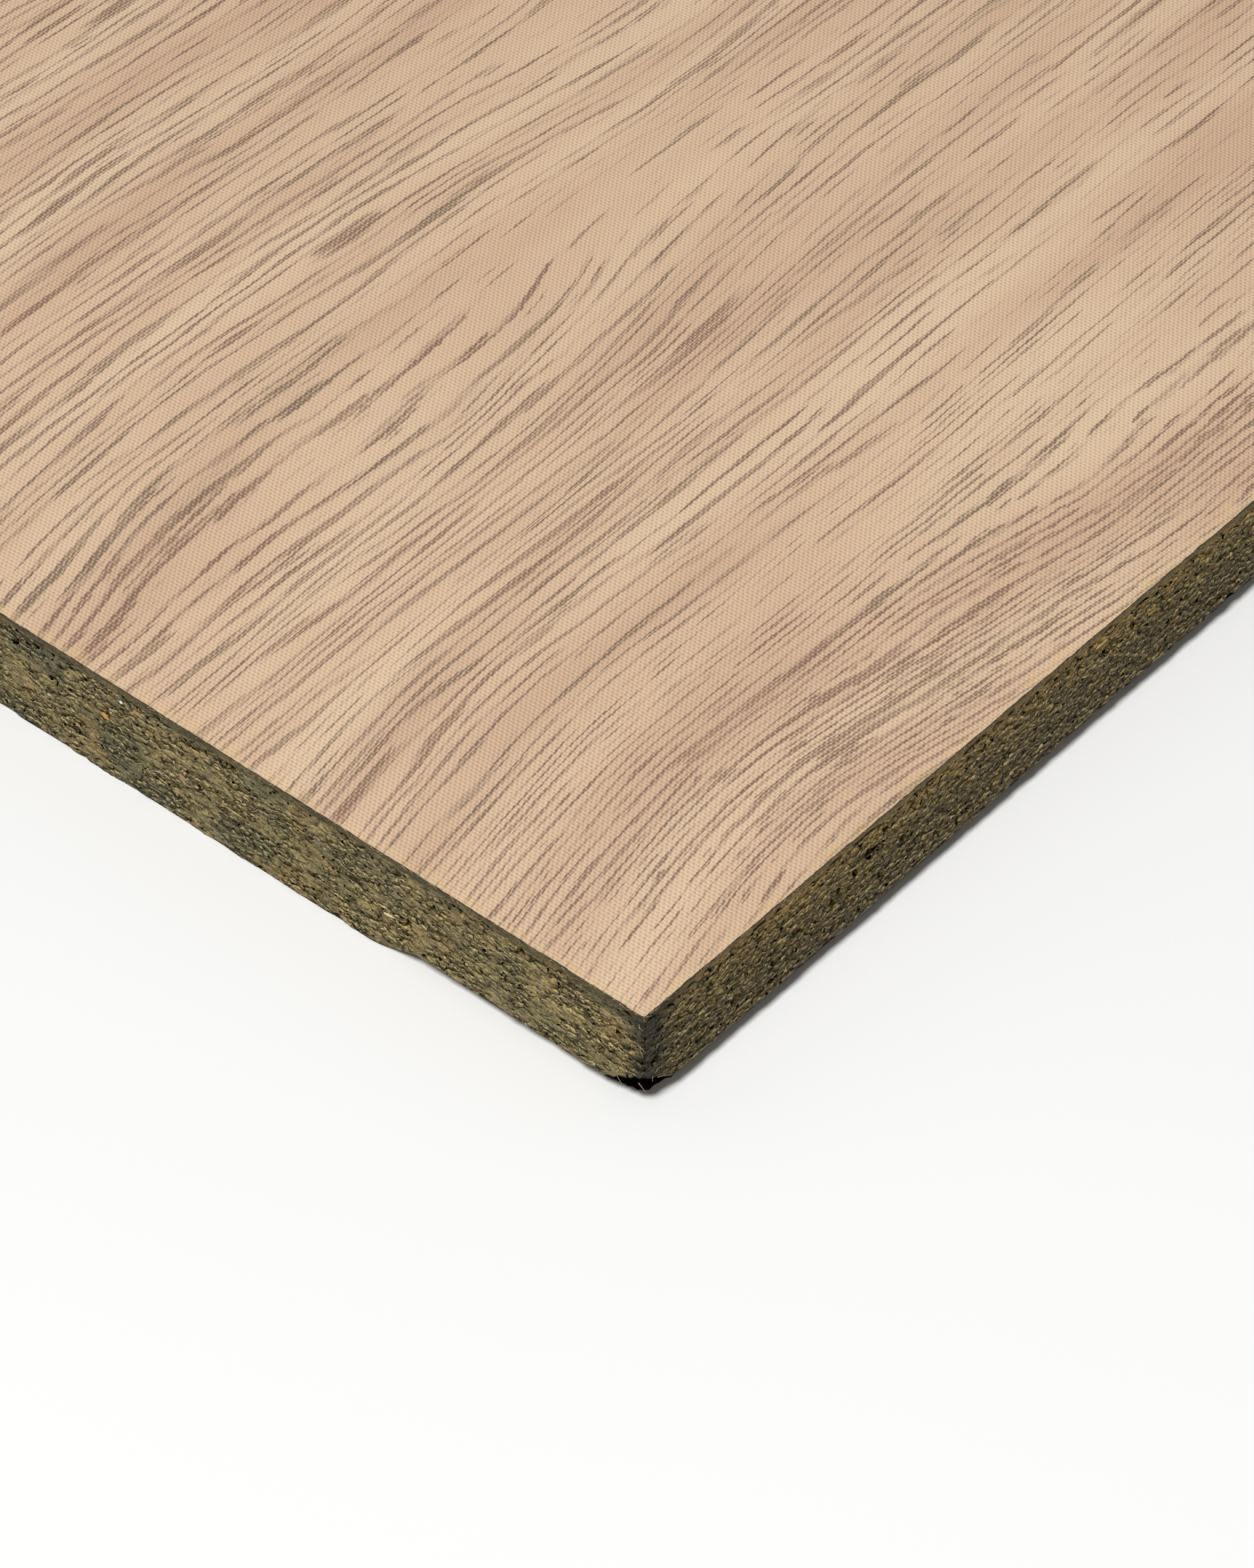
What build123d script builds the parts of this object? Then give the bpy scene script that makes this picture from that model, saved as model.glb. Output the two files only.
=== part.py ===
# A square wood-look floor tile: a printed woven facing on a thin dark backing, bonded to a
# pressed fibre core. Millimetres, Z up. The origin is the centre of the underside, at floor
# level. The corner at (-X, -Y) is the damaged one: a flake has come off its underside, and
# the tip of its lower edge has crumbled away.

from build123d import *
import os

os.makedirs("parts", exist_ok=True)

# Plan size of the tile
tile_length = 600.0          # along X
tile_width = 600.0           # along Y

# The three layers, from the floor up
core_thickness = 16.6
backing_thickness = 1.1
facing_thickness = 0.3

# The core's four upright corners are rubbed round by handling
corner_wear = 0.8

# The flake: how deep it broke, and where its break line leaves the tile's two edges. The
# break slopes, so its line on the underside stands further out than at the flake's depth.
flake_depth = 2.5
flake_left_reach = 45.5      # from the corner, along the edge that runs in Y
flake_right_reach = 190.0    # from the corner, along the edge that runs in X
flake_slope_run = 7.5        # plan width of the sloping break
flake_bulge = 12.0           # how far the break line bows out from its chord

# The crumbled tip: where its oblique break meets the upright corner and the two edges
tip_height = 7.6             # on the upright corner, above the underside
tip_left_reach = 7.0         # along the edge that runs in Y, at the flake's depth
tip_right_reach = 5.7        # along the edge that runs in X, at the flake's depth

# How far the flake's cutting outline runs past the tile's edges
overrun = 20.0

corner_x = -tile_length / 2
corner_y = -tile_width / 2
backing_base = core_thickness
facing_base = backing_base + backing_thickness


def flake_outline(height, setback):
    """The flake's outline at a height, with its ends drawn towards the corner by setback."""
    left_end = Vector(corner_x, corner_y + flake_left_reach - setback)
    right_end = Vector(corner_x + flake_right_reach - setback, corner_y)
    chord = right_end - left_end
    away = Vector(-chord.Y, chord.X).normalized()
    middle = (left_end + right_end) / 2 + away * flake_bulge
    with BuildSketch(Plane.XY.offset(height)) as outline:
        with BuildLine():
            ThreePointArc(left_end, middle, right_end)
            Polyline(
                right_end,
                (right_end.X, corner_y - overrun),
                (corner_x - overrun, corner_y - overrun),
                (corner_x - overrun, left_end.Y),
                left_end,
            )
        make_face()
    return outline.sketch


with BuildPart() as core:
    with BuildSketch(Plane.XY):
        Rectangle(tile_length, tile_width)
    extrude(amount=core_thickness)
    fillet(core.edges().filter_by(Axis.Z), radius=corner_wear)

    # The flake comes off the underside, with a sloping break around it
    loft(
        sections=[flake_outline(0, 0), flake_outline(flake_depth, flake_slope_run)],
        ruled=True,
        mode=Mode.SUBTRACT,
    )

    # The crumbled tip is cut off by the plane through its three reaches
    tip_top = Vector(corner_x, corner_y, tip_height)
    tip_left = Vector(corner_x, corner_y + tip_left_reach, flake_depth)
    tip_right = Vector(corner_x + tip_right_reach, corner_y, flake_depth)
    inward = (tip_right - tip_top).cross(tip_left - tip_top)
    tip_break = Plane(origin=tip_top, x_dir=tip_right - tip_top, z_dir=inward)
    split(bisect_by=tip_break, keep=Keep.TOP)
core.part.label = "core"
export_step(core.part, "parts/core.step")


with BuildPart() as face_backing:
    with BuildSketch(Plane.XY.offset(backing_base)):
        Rectangle(tile_length, tile_width)
    extrude(amount=backing_thickness)
face_backing.part.label = "face_backing"
export_step(face_backing.part, "parts/face_backing.step")


with BuildPart() as printed_facing:
    with BuildSketch(Plane.XY.offset(facing_base)):
        Rectangle(tile_length, tile_width)
    extrude(amount=facing_thickness)
printed_facing.part.label = "printed_facing"
export_step(printed_facing.part, "parts/printed_facing.step")
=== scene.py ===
import itertools
import math
from functools import partial

import bpy
import numpy as np
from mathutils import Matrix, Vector


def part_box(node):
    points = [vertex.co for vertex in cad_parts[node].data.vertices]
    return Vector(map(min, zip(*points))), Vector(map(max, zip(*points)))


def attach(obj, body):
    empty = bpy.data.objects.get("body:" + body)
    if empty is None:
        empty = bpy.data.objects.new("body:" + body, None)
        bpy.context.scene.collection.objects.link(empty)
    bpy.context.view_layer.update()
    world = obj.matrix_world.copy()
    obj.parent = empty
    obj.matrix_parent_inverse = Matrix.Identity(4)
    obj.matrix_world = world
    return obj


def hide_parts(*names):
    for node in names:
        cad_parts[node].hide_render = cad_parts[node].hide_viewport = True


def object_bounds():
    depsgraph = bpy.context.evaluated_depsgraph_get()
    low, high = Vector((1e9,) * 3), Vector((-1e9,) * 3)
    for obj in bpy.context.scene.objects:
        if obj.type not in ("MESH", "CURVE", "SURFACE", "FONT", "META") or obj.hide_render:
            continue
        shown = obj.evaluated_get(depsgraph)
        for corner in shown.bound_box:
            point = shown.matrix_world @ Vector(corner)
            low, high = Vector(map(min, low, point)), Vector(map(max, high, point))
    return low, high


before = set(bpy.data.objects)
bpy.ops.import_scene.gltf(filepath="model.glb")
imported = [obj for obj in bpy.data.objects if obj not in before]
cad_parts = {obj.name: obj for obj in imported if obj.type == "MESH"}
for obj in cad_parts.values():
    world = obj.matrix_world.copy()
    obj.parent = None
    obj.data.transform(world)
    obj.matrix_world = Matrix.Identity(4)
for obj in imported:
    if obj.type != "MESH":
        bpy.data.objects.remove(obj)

cad_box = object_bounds()

# Places are worked out in millimetres from the chipped corner's foot: x along the front edge,
# y along the left edge, z up. They are turned to the frame's metres when a mesh is made.
MM = 0.001
tile_low, tile_high = (np.array(corner) / MM for corner in cad_box)
tile_length, tile_width, tile_height = (float(side) for side in tile_high - tile_low)
core_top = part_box("core")[1].z / MM
backing_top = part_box("face_backing")[1].z / MM

# The rim's mesh is finest near the chipped corner, as far as this along both of its edges
close_reach = 132.0
close_step = 0.3
far_step = 2.4


# Colours and nodes

# A MapRange node with these settings eases in and out
smooth = {"interpolation_type": "SMOOTHSTEP"}


def linear(colour):
    """An sRGB hex colour as linear RGBA."""
    parts = [int(colour[i:i + 2], 16) / 255 for i in (1, 3, 5)]
    return [c / 12.92 if c <= 0.04045 else ((c + 0.055) / 1.055) ** 2.4 for c in parts] + [1.0]


def node(tree, kind, *inputs, stops=(), **named):
    """Adds a node and gives back its first live output. Plain inputs fill its live sockets in
    order; a capitalised name is a socket and any other name is a setting. Colours are hex, and
    the stops of a colour ramp are its two ends and then the ones between."""
    made = tree.nodes.new("ShaderNode" + kind)
    for name, value in named.items():
        if name[0].islower():
            setattr(made, name, value)
    live = [socket for socket in made.inputs if socket.enabled]
    wanted = list(zip(live, inputs))
    for name, value in named.items():
        if name[0].isupper():
            wanted.append((made.inputs[name.replace("_", " ")], value))
    for socket, value in wanted:
        if isinstance(value, bpy.types.NodeSocket):
            tree.links.new(value, socket)
        else:
            socket.default_value = linear(value) if isinstance(value, str) else value
    if stops:
        ramp = made.color_ramp.elements
        for end, (place, colour) in zip(ramp, stops[:2]):
            end.position, end.color = place, linear(colour)
        for place, colour in stops[2:]:
            ramp.new(place).color = linear(colour)
    return next(socket for socket in made.outputs if socket.enabled)


def new_finish(name):
    """An empty material, its node adder, and places on the tile in millimetres."""
    material = bpy.data.materials.new(name)
    material.use_nodes = True
    tree = material.node_tree
    tree.nodes.remove(tree.nodes["Principled BSDF"])
    n = partial(node, tree)
    where = n("TexCoord").node.outputs["Object"]
    place = n("VectorMath", where, (1 / MM,) * 3, tuple(-tile_low), operation="MULTIPLY_ADD")
    return material, n, place


def close_finish(material, shader):
    """Joins the finished shader to the material's output."""
    tree = material.node_tree
    tree.links.new(shader, tree.nodes["Material Output"].inputs["Surface"])
    return material


def from_middle(n, place):
    """How far each spot is from the tile's middle along X, and along Y, in millimetres."""
    middle = n("VectorMath", place, (tile_length / 2, tile_width / 2, 0), operation="SUBTRACT")
    along_x, along_y, _ = n("SeparateXYZ", n("VectorMath", middle, operation="ABSOLUTE")).node.outputs
    return along_x, along_y


def from_corner(n, place):
    """How far along an edge each spot is from the nearest upright corner, in millimetres."""
    reached = n("Math", *from_middle(n, place), operation="ADD")
    return n("Math", tile_length / 2 + tile_width / 2, reached, operation="SUBTRACT")


# The printed cloth

# Where the print's streaks crowd or thin out: centre x and y, half length, half width, change
print_zones = (
    (112, 106, 48, 12, -0.16),    # the calm heart of the plank
    (95, 37, 55, 9, -0.07),       # the calm pink patch
    (60, 154, 110, 18, 0.02),     # the crowded band above the heart
    (40, 68, 70, 8, 0.01),        # the crowded band below it
    (84, 11, 34, 7, 0.07),        # the crowded front edge, right of the ridge
    (54, 15, 27, 12, 0.09),       # and on the ridge
    (12, 38, 20, 14, 0.03),       # the crowded left end
    (22, 90, 24, 4, 0.06),        # two clusters that reach in from the left edge
    (22, 108, 26, 4.5, 0.06),
    (88, 98, 15, 4, 0.08),        # the streaks of the heart's own loops
    (10, 9, 14, 10, -0.04),       # the plainer corner
    (165, 60, 50, 30, -0.10),     # the plain right part
    (148, 146, 45, 22, -0.08),    # and the plain far part
)
# Where the grain lines swell aside: the same measures, and by how many millimetres. The first
# draws them close together on its near side and far apart on its far side, which is the plank's
# heart, and the second closes some of those into loops.
ring_crowns = (
    (50, 88, 72, 19, 10.8),
    (90, 99, 17, 5, 1.6),
    (150, 128, 34, 12, 5.0),
)
# The lines climb towards the back, most of all from the left edge, and close to the front edge
# they fall again beyond a ridge
even_climb = 0.015               # rise for each millimetre of X, everywhere
left_climb = 0.20                # and besides, from the left edge
climb_end = 28.0                 # as far as here
ridge_x = 45.0
ridge_fall = 0.125               # fall for each millimetre of X beyond the ridge
ridge_reach = 65.0               # over this length

# The growth rings, across the lines
ring_spacing = 2.2
ring_sway = 3.0                  # by how many rings they wander off even spacing
extra_rings = 14.0               # more rings in the lines next to the front edge, 1.3 mm apart
extra_from, extra_to = -10.0, 36.0

# The pores are drawn in strands of dashes
strand_spacing = 0.5
strand_shift = 7.31              # how far one strand's place in the noise is from the next one's
dash_length = 17.0
front_dash_length = 7.5          # near the front edge

# The cloth's threads: how many cross a millimetre of X and of Y. It was laid out of square.
upright_threads = (1.792, 0.07)
level_threads = (-0.12, 2.79)
weave_depth = 0.06


def printed_oak_cloth():
    """Plain-weave polyester cloth, heat-printed with a pale oak. To the eye: matt, with small
    staggered shadows painted between its threads, highlights painted on their crowns, and
    purple-brown pores drawn along the grain."""
    material, n, place = new_finish("printed oak cloth")
    x, y, _ = n("SeparateXYZ", place).node.outputs

    def around(spot):
        """A soft hill over one spot of the print."""
        centre_x, centre_y, half_length, half_width, top = spot
        off = n("VectorMath", place, (centre_x, centre_y, 0), operation="SUBTRACT")
        off = n("VectorMath", off, (1 / half_length, 1 / half_width, 0), operation="MULTIPLY")
        reach = n("VectorMath", off, operation="LENGTH").node.outputs["Value"]
        return n("MapRange", reach, 0.0, 1.6, top, 0.0, **smooth)

    # The lines' own coordinate: wherever it is the same, the print draws one grain line. It
    # sways over 95 mm, shivers over 15 mm and is ragged over 1 mm, where threads cut it off.
    slow = n("VectorMath", place, (1 / 95, 1 / 60, 0), operation="MULTIPLY")
    quick = n("VectorMath", place, (1 / 15, 1 / 9, 0), (7, 0, 0), operation="MULTIPLY_ADD")
    by_threads = n("VectorMath", place, (1 / 0.9, 1 / 0.5, 0), operation="MULTIPLY")
    sway = n("TexNoise", slow, Scale=1.0, Detail=1.0)
    shiver = n("TexNoise", quick, Scale=1.0, Detail=2.0)
    ragged = n("TexNoise", by_threads, Scale=1.0, Detail=1.0)
    line = y
    for wander, height in ((sway, 4.0), (shiver, 0.7), (ragged, 0.4)):
        wander = n("Math", wander, 0.5, operation="SUBTRACT")
        line = n("Math", wander, height, line, operation="MULTIPLY_ADD")
    for crown in ring_crowns:
        line = n("Math", line, around(crown), operation="ADD")
    beyond_ridge = n("Math", x, ridge_x, operation="SUBTRACT")
    beyond_ridge = n("Math", beyond_ridge, 0.0, 8.0, operation="SMOOTH_MAX")
    beyond_ridge = n("Math", beyond_ridge, ridge_reach, 20.0, operation="SMOOTH_MIN")
    fall = n("MapRange", y, 10.0, 34.0, ridge_fall, 0.0, **smooth)
    line = n("Math", beyond_ridge, fall, line, operation="MULTIPLY_ADD")
    from_left = n("Math", x, climb_end, 30.0, operation="SMOOTH_MIN")
    line = n("Math", from_left, -left_climb, line, operation="MULTIPLY_ADD")
    line = n("Math", x, -even_climb, line, operation="MULTIPLY_ADD")
    grain = n("CombineXYZ", x, line, 0.0)

    def streaks(length, width, seed, detail):
        """Noise drawn out along the grain, with features of this length and width."""
        along = n("VectorMath", grain, (1 / length, 1 / width, 0), (0, 0, seed), operation="MULTIPLY_ADD")
        return n("TexNoise", along, Scale=1.0, Detail=detail, Roughness=0.4)

    # How crowded the pores are
    crowd = n("Math", streaks(190, 12, 3, 2.0), 0.5, operation="SUBTRACT")
    crowd = n("Math", crowd, 0.16, operation="MULTIPLY")
    for spot in print_zones:
        crowd = n("Math", crowd, around(spot), operation="ADD")

    # Each growth ring draws in a bundle of strands, some rings more than others
    uneven = n("Math", streaks(50, 5.0, 71, 1.0), 0.5, operation="SUBTRACT")
    extra = n("MapRange", line, extra_from, extra_to, 0.0, extra_rings)
    ring = n("Math", line, 1 / ring_spacing, extra, operation="MULTIPLY_ADD")
    ring = n("Math", uneven, ring_sway, ring, operation="MULTIPLY_ADD")
    ring = n("Math", n("Math", ring, math.tau, operation="MULTIPLY"), operation="COSINE")
    ring = n("MapRange", ring, -0.3, 1.0, -0.08, 0.13, **smooth)
    strength = n("Math", streaks(40, 2.4, 11, 2.0), 0.5, operation="SUBTRACT")
    strength = n("Math", strength, 0.42, crowd, operation="MULTIPLY_ADD")
    leaning = n("Math", ring, strength, operation="ADD")

    # Each strand has dashes of its own, up to 0.36 mm wide. Where neighbouring strands are both
    # drawn they run together.
    bend = n("Math", streaks(16, 1.3, 23, 1.0), 0.5, operation="SUBTRACT")
    strand = n("Math", line, 1 / strand_spacing, operation="MULTIPLY")
    strand = n("Math", bend, 2.2, strand, operation="MULTIPLY_ADD")
    number = n("Math", strand, operation="FLOOR")
    off_middle = n("Math", n("Math", strand, operation="FRACT"), 0.5, operation="SUBTRACT")
    off_middle = n("Math", off_middle, operation="ABSOLUTE")
    dashes = n("MapRange", y, 14.0, 44.0, 1 / front_dash_length, 1 / dash_length, **smooth)
    dashes = n("Math", x, dashes, operation="MULTIPLY")
    dash_place = n("CombineXYZ", dashes, n("Math", number, strand_shift, operation="MULTIPLY"), 0.0)
    dash = n("TexNoise", dash_place, Scale=1.0, Detail=3.0, Roughness=0.45)
    dash = n("Math", dash, leaning, operation="ADD")
    half_width = n("MapRange", dash, 0.505, 0.70, 0.0, 0.36, **smooth)
    inside = n("Math", half_width, off_middle, operation="SUBTRACT")
    pores = n("MapRange", inside, -0.15, 0.08, **smooth)
    drawn = n("MapRange", dash, 0.505, 0.60, **smooth)
    pores = n("Math", pores, drawn, operation="MULTIPLY")
    depth = n("MapRange", streaks(18, 4, 91, 1.0), 0.35, 0.65, 0.66, 0.95, **smooth)
    pores = n("Math", pores, depth, operation="MULTIPLY")
    # Fainter dashes between them are 3 to 10 mm long and 0.2 mm wide
    fine = n("Math", streaks(9, 0.32, 37, 2.0), leaning, operation="ADD")
    fine = n("MapRange", fine, 0.54, 0.70, **smooth)
    fine = n("Math", fine, 0.38, operation="MULTIPLY")
    ink = n("Math", pores, fine, operation="MAXIMUM")
    # The crowded rings also have a soft brown shade
    shade = n("MapRange", leaning, -0.05, 0.2, **smooth)
    ink = n("Math", shade, 0.12, ink, operation="MULTIPLY_ADD")

    # A plain weave repeats over one thread each way and, staggered, over two. Thick spots bend it.
    slub = n("VectorMath", place, (1 / 2.5, 1 / 2.5, 0), operation="MULTIPLY")
    slub = n("TexNoise", slub, Scale=1.0, Detail=2.0)
    woven = n("VectorMath", slub.node.outputs["Color"], (0.35, 0.22, 0), place, operation="MULTIPLY_ADD")
    upright, level = (math.tau * np.array((*threads, 0)) for threads in (upright_threads, level_threads))
    waves = n("CombineXYZ", *(n("VectorMath", woven, tuple(wave), operation="DOT_PRODUCT")
                              for wave in (upright, level, (upright - level) / 2)))
    waves = n("VectorMath", waves, operation="COSINE")
    weave = n("VectorMath", waves, (0.4, 0.2, 0.4), operation="DOT_PRODUCT")
    gap_shade = n("MapRange", weave, 0.05, 0.85, **smooth)
    # Ink lies deepest in the gaps, so each pore breaks into dots
    soaking = n("MapRange", weave, -0.6, 0.7, 0.75, 1.15, **smooth)
    ink = n("Math", ink, soaking, operation="MULTIPLY", use_clamp=True)

    # The pale ground is cream with pinker clouds, and the ink is purple-brown to grey-brown
    ground = n("ValToRGB", streaks(80, 11, 51, 3.0),
               stops=((0.32, "#bf9f82"), (0.68, "#cfb495"), (0.5, "#c8aa8c")))
    greyer = n("MapRange", streaks(80, 9, 67, 1.0), 0.4, 0.6, **smooth)
    pigment = n("Mix", greyer, "#7d5e4d", "#765f4c", data_type="RGBA")
    colour = n("Mix", ink, ground, pigment, data_type="RGBA")
    # The gaps between threads are darkened with painted shade, some more than others, and the
    # threads' crowns are paler with a painted highlight
    uneven_gap_shade = n("MapRange", slub, 0.3, 0.7, 0.22, 0.42, **smooth)
    gap_shade = n("Math", gap_shade, uneven_gap_shade, operation="MULTIPLY")
    crown_highlight = n("MapRange", weave, -0.8, -0.1, 0.3, 0.0, **smooth)

    # A few dark specks are printing faults: one in about half of all 20 mm cells
    cells = n("VectorMath", place, (1 / 20, 1 / 20, 0), operation="MULTIPLY")
    faults = n("TexVoronoi", cells, Scale=1.0).node.outputs
    speck = n("MapRange", faults["Distance"], 0.010, 0.018, 0.7, 0.0, **smooth)
    chosen = n("Math", n("SeparateColor", faults["Color"]), 0.5, operation="GREATER_THAN")
    speck = n("Math", speck, chosen, operation="MULTIPLY")

    # All four cut edges have yellowed by one to three millimetres
    along_x, along_y = from_middle(n, place)
    to_side = n("Math", tile_length / 2, along_x, operation="SUBTRACT")
    to_front = n("Math", tile_width / 2, along_y, operation="SUBTRACT")
    to_edge = n("Math", to_side, to_front, operation="MINIMUM")
    soaked = n("VectorMath", place, (1 / 4.5, 1 / 4.5, 0), operation="MULTIPLY")
    soaked = n("Math", n("TexNoise", soaked, Scale=1.0, Detail=2.0), 0.5, operation="SUBTRACT")
    to_edge = n("Math", soaked, -7.0, to_edge, operation="MULTIPLY_ADD")
    yellowed = n("MapRange", to_edge, 0.0, 1.6, 0.35, 0.0, **smooth)
    # The gaps' painted shade and the crowns' painted highlight are laid over the print here
    for share, shade in ((gap_shade, "#7a6050"), (crown_highlight, "#ead3b5"), (speck, "#5d4a3f"), (yellowed, "#cdb081")):
        colour = n("Mix", share, colour, shade, data_type="RGBA")

    # The cut ends of its threads are dark with resin
    upward = n("SeparateXYZ", n("TexCoord").node.outputs["Normal"]).node.outputs["Z"]
    ends = n("VectorMath", place, (1 / 0.7,) * 3, operation="MULTIPLY")
    ends = n("TexNoise", ends, Scale=1.0, Detail=3.0)
    resin = n("Mix", n("MapRange", ends, 0.45, 0.65, **smooth), "#241d10", "#4a3c22", data_type="RGBA")
    on_face = n("MapRange", upward, 0.5, 0.8, **smooth)
    colour = n("Mix", on_face, resin, colour, data_type="RGBA")

    hills = n("Math", weave, -1.0, operation="MULTIPLY")
    relief = n("Bump", 0.7, weave_depth * MM, Height=hills)
    shader = n("BsdfPrincipled", Base_Color=colour, Roughness=0.75, Sheen_Weight=0.05, Normal=relief)
    return close_finish(material, shader)


# The dark bonding layer

def dark_bonding_layer():
    """Dark resin-rich bonding layer, saw-cut with the core. To the eye: a dull olive-brown
    stripe with slate patches and hair-fine lines along the cut."""
    material, n, place = new_finish("dark bonding layer")
    # Saw lines are 0.17 mm apart and 8 mm long, patches 5 mm long and grit half a millimetre
    lines = n("VectorMath", place, (1 / 8, 1 / 8, 1 / 0.17), operation="MULTIPLY")
    lines = n("TexNoise", lines, Scale=1.0, Detail=3.0, Roughness=0.6)
    patches = n("VectorMath", place, (1 / 5, 1 / 5, 1 / 1.5), operation="MULTIPLY")
    patches = n("TexNoise", patches, Scale=1.0, Detail=3.0)
    grit = n("VectorMath", place, (1 / 0.5, 1 / 0.5, 1 / 0.3), operation="MULTIPLY")
    grit = n("TexNoise", grit, Scale=1.0, Detail=3.0)
    colour = n("ValToRGB", lines, stops=((0.35, "#4b4128"), (0.66, "#8d7d54"), (0.5, "#6b5e3c")))
    slate = n("MapRange", patches, 0.46, 0.64, 0.0, 0.6)
    # The front and back edges are browner
    across = n("SeparateXYZ", n("TexCoord").node.outputs["Normal"]).node.outputs["Y"]
    across = n("MapRange", n("Math", across, operation="ABSOLUTE"), 0.5, 0.9)
    browner = n("Math", across, 0.6, operation="MULTIPLY")
    # Darker in its upper half, and all through where the grit shows
    upper = n("MapRange", n("SeparateXYZ", place).node.outputs["Z"], 16.9, 17.4, 0.0, 0.4)
    gritty = n("MapRange", grit, 0.45, 0.68, 0.0, 0.85)
    # The handled upright corners have gone dark, further along the browner edges
    blotch = n("Math", patches, 0.5, operation="SUBTRACT")
    to_arris = n("Math", blotch, 9.0, from_corner(n, place), operation="MULTIPLY_ADD")
    to_arris = n("Math", across, -4.0, to_arris, operation="MULTIPLY_ADD")
    arris = n("MapRange", to_arris, 1.0, 5.0, 0.75, 0.0)
    # The hollows where bits have come away are painted nearly black as their shade
    hollow_shade = n("Attribute", attribute_name="hollow").node.outputs["Fac"]
    for share, shade in ((slate, "#3c3c2e"), (browner, "#977c48"), (upper, "#2e281a"),
                         (gritty, "#1f1a12"), (arris, "#211f17"), (hollow_shade, "#17120b")):
        colour = n("Mix", share, colour, shade, data_type="RGBA")
    relief = n("Bump", 0.8, 0.08 * MM, Height=n("Math", lines, grit, operation="ADD"))
    shader = n("BsdfPrincipled", Base_Color=colour, Roughness=0.66, Specular_IOR_Level=0.15, Normal=relief)
    return close_finish(material, shader)


# The pressed fibre core

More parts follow.
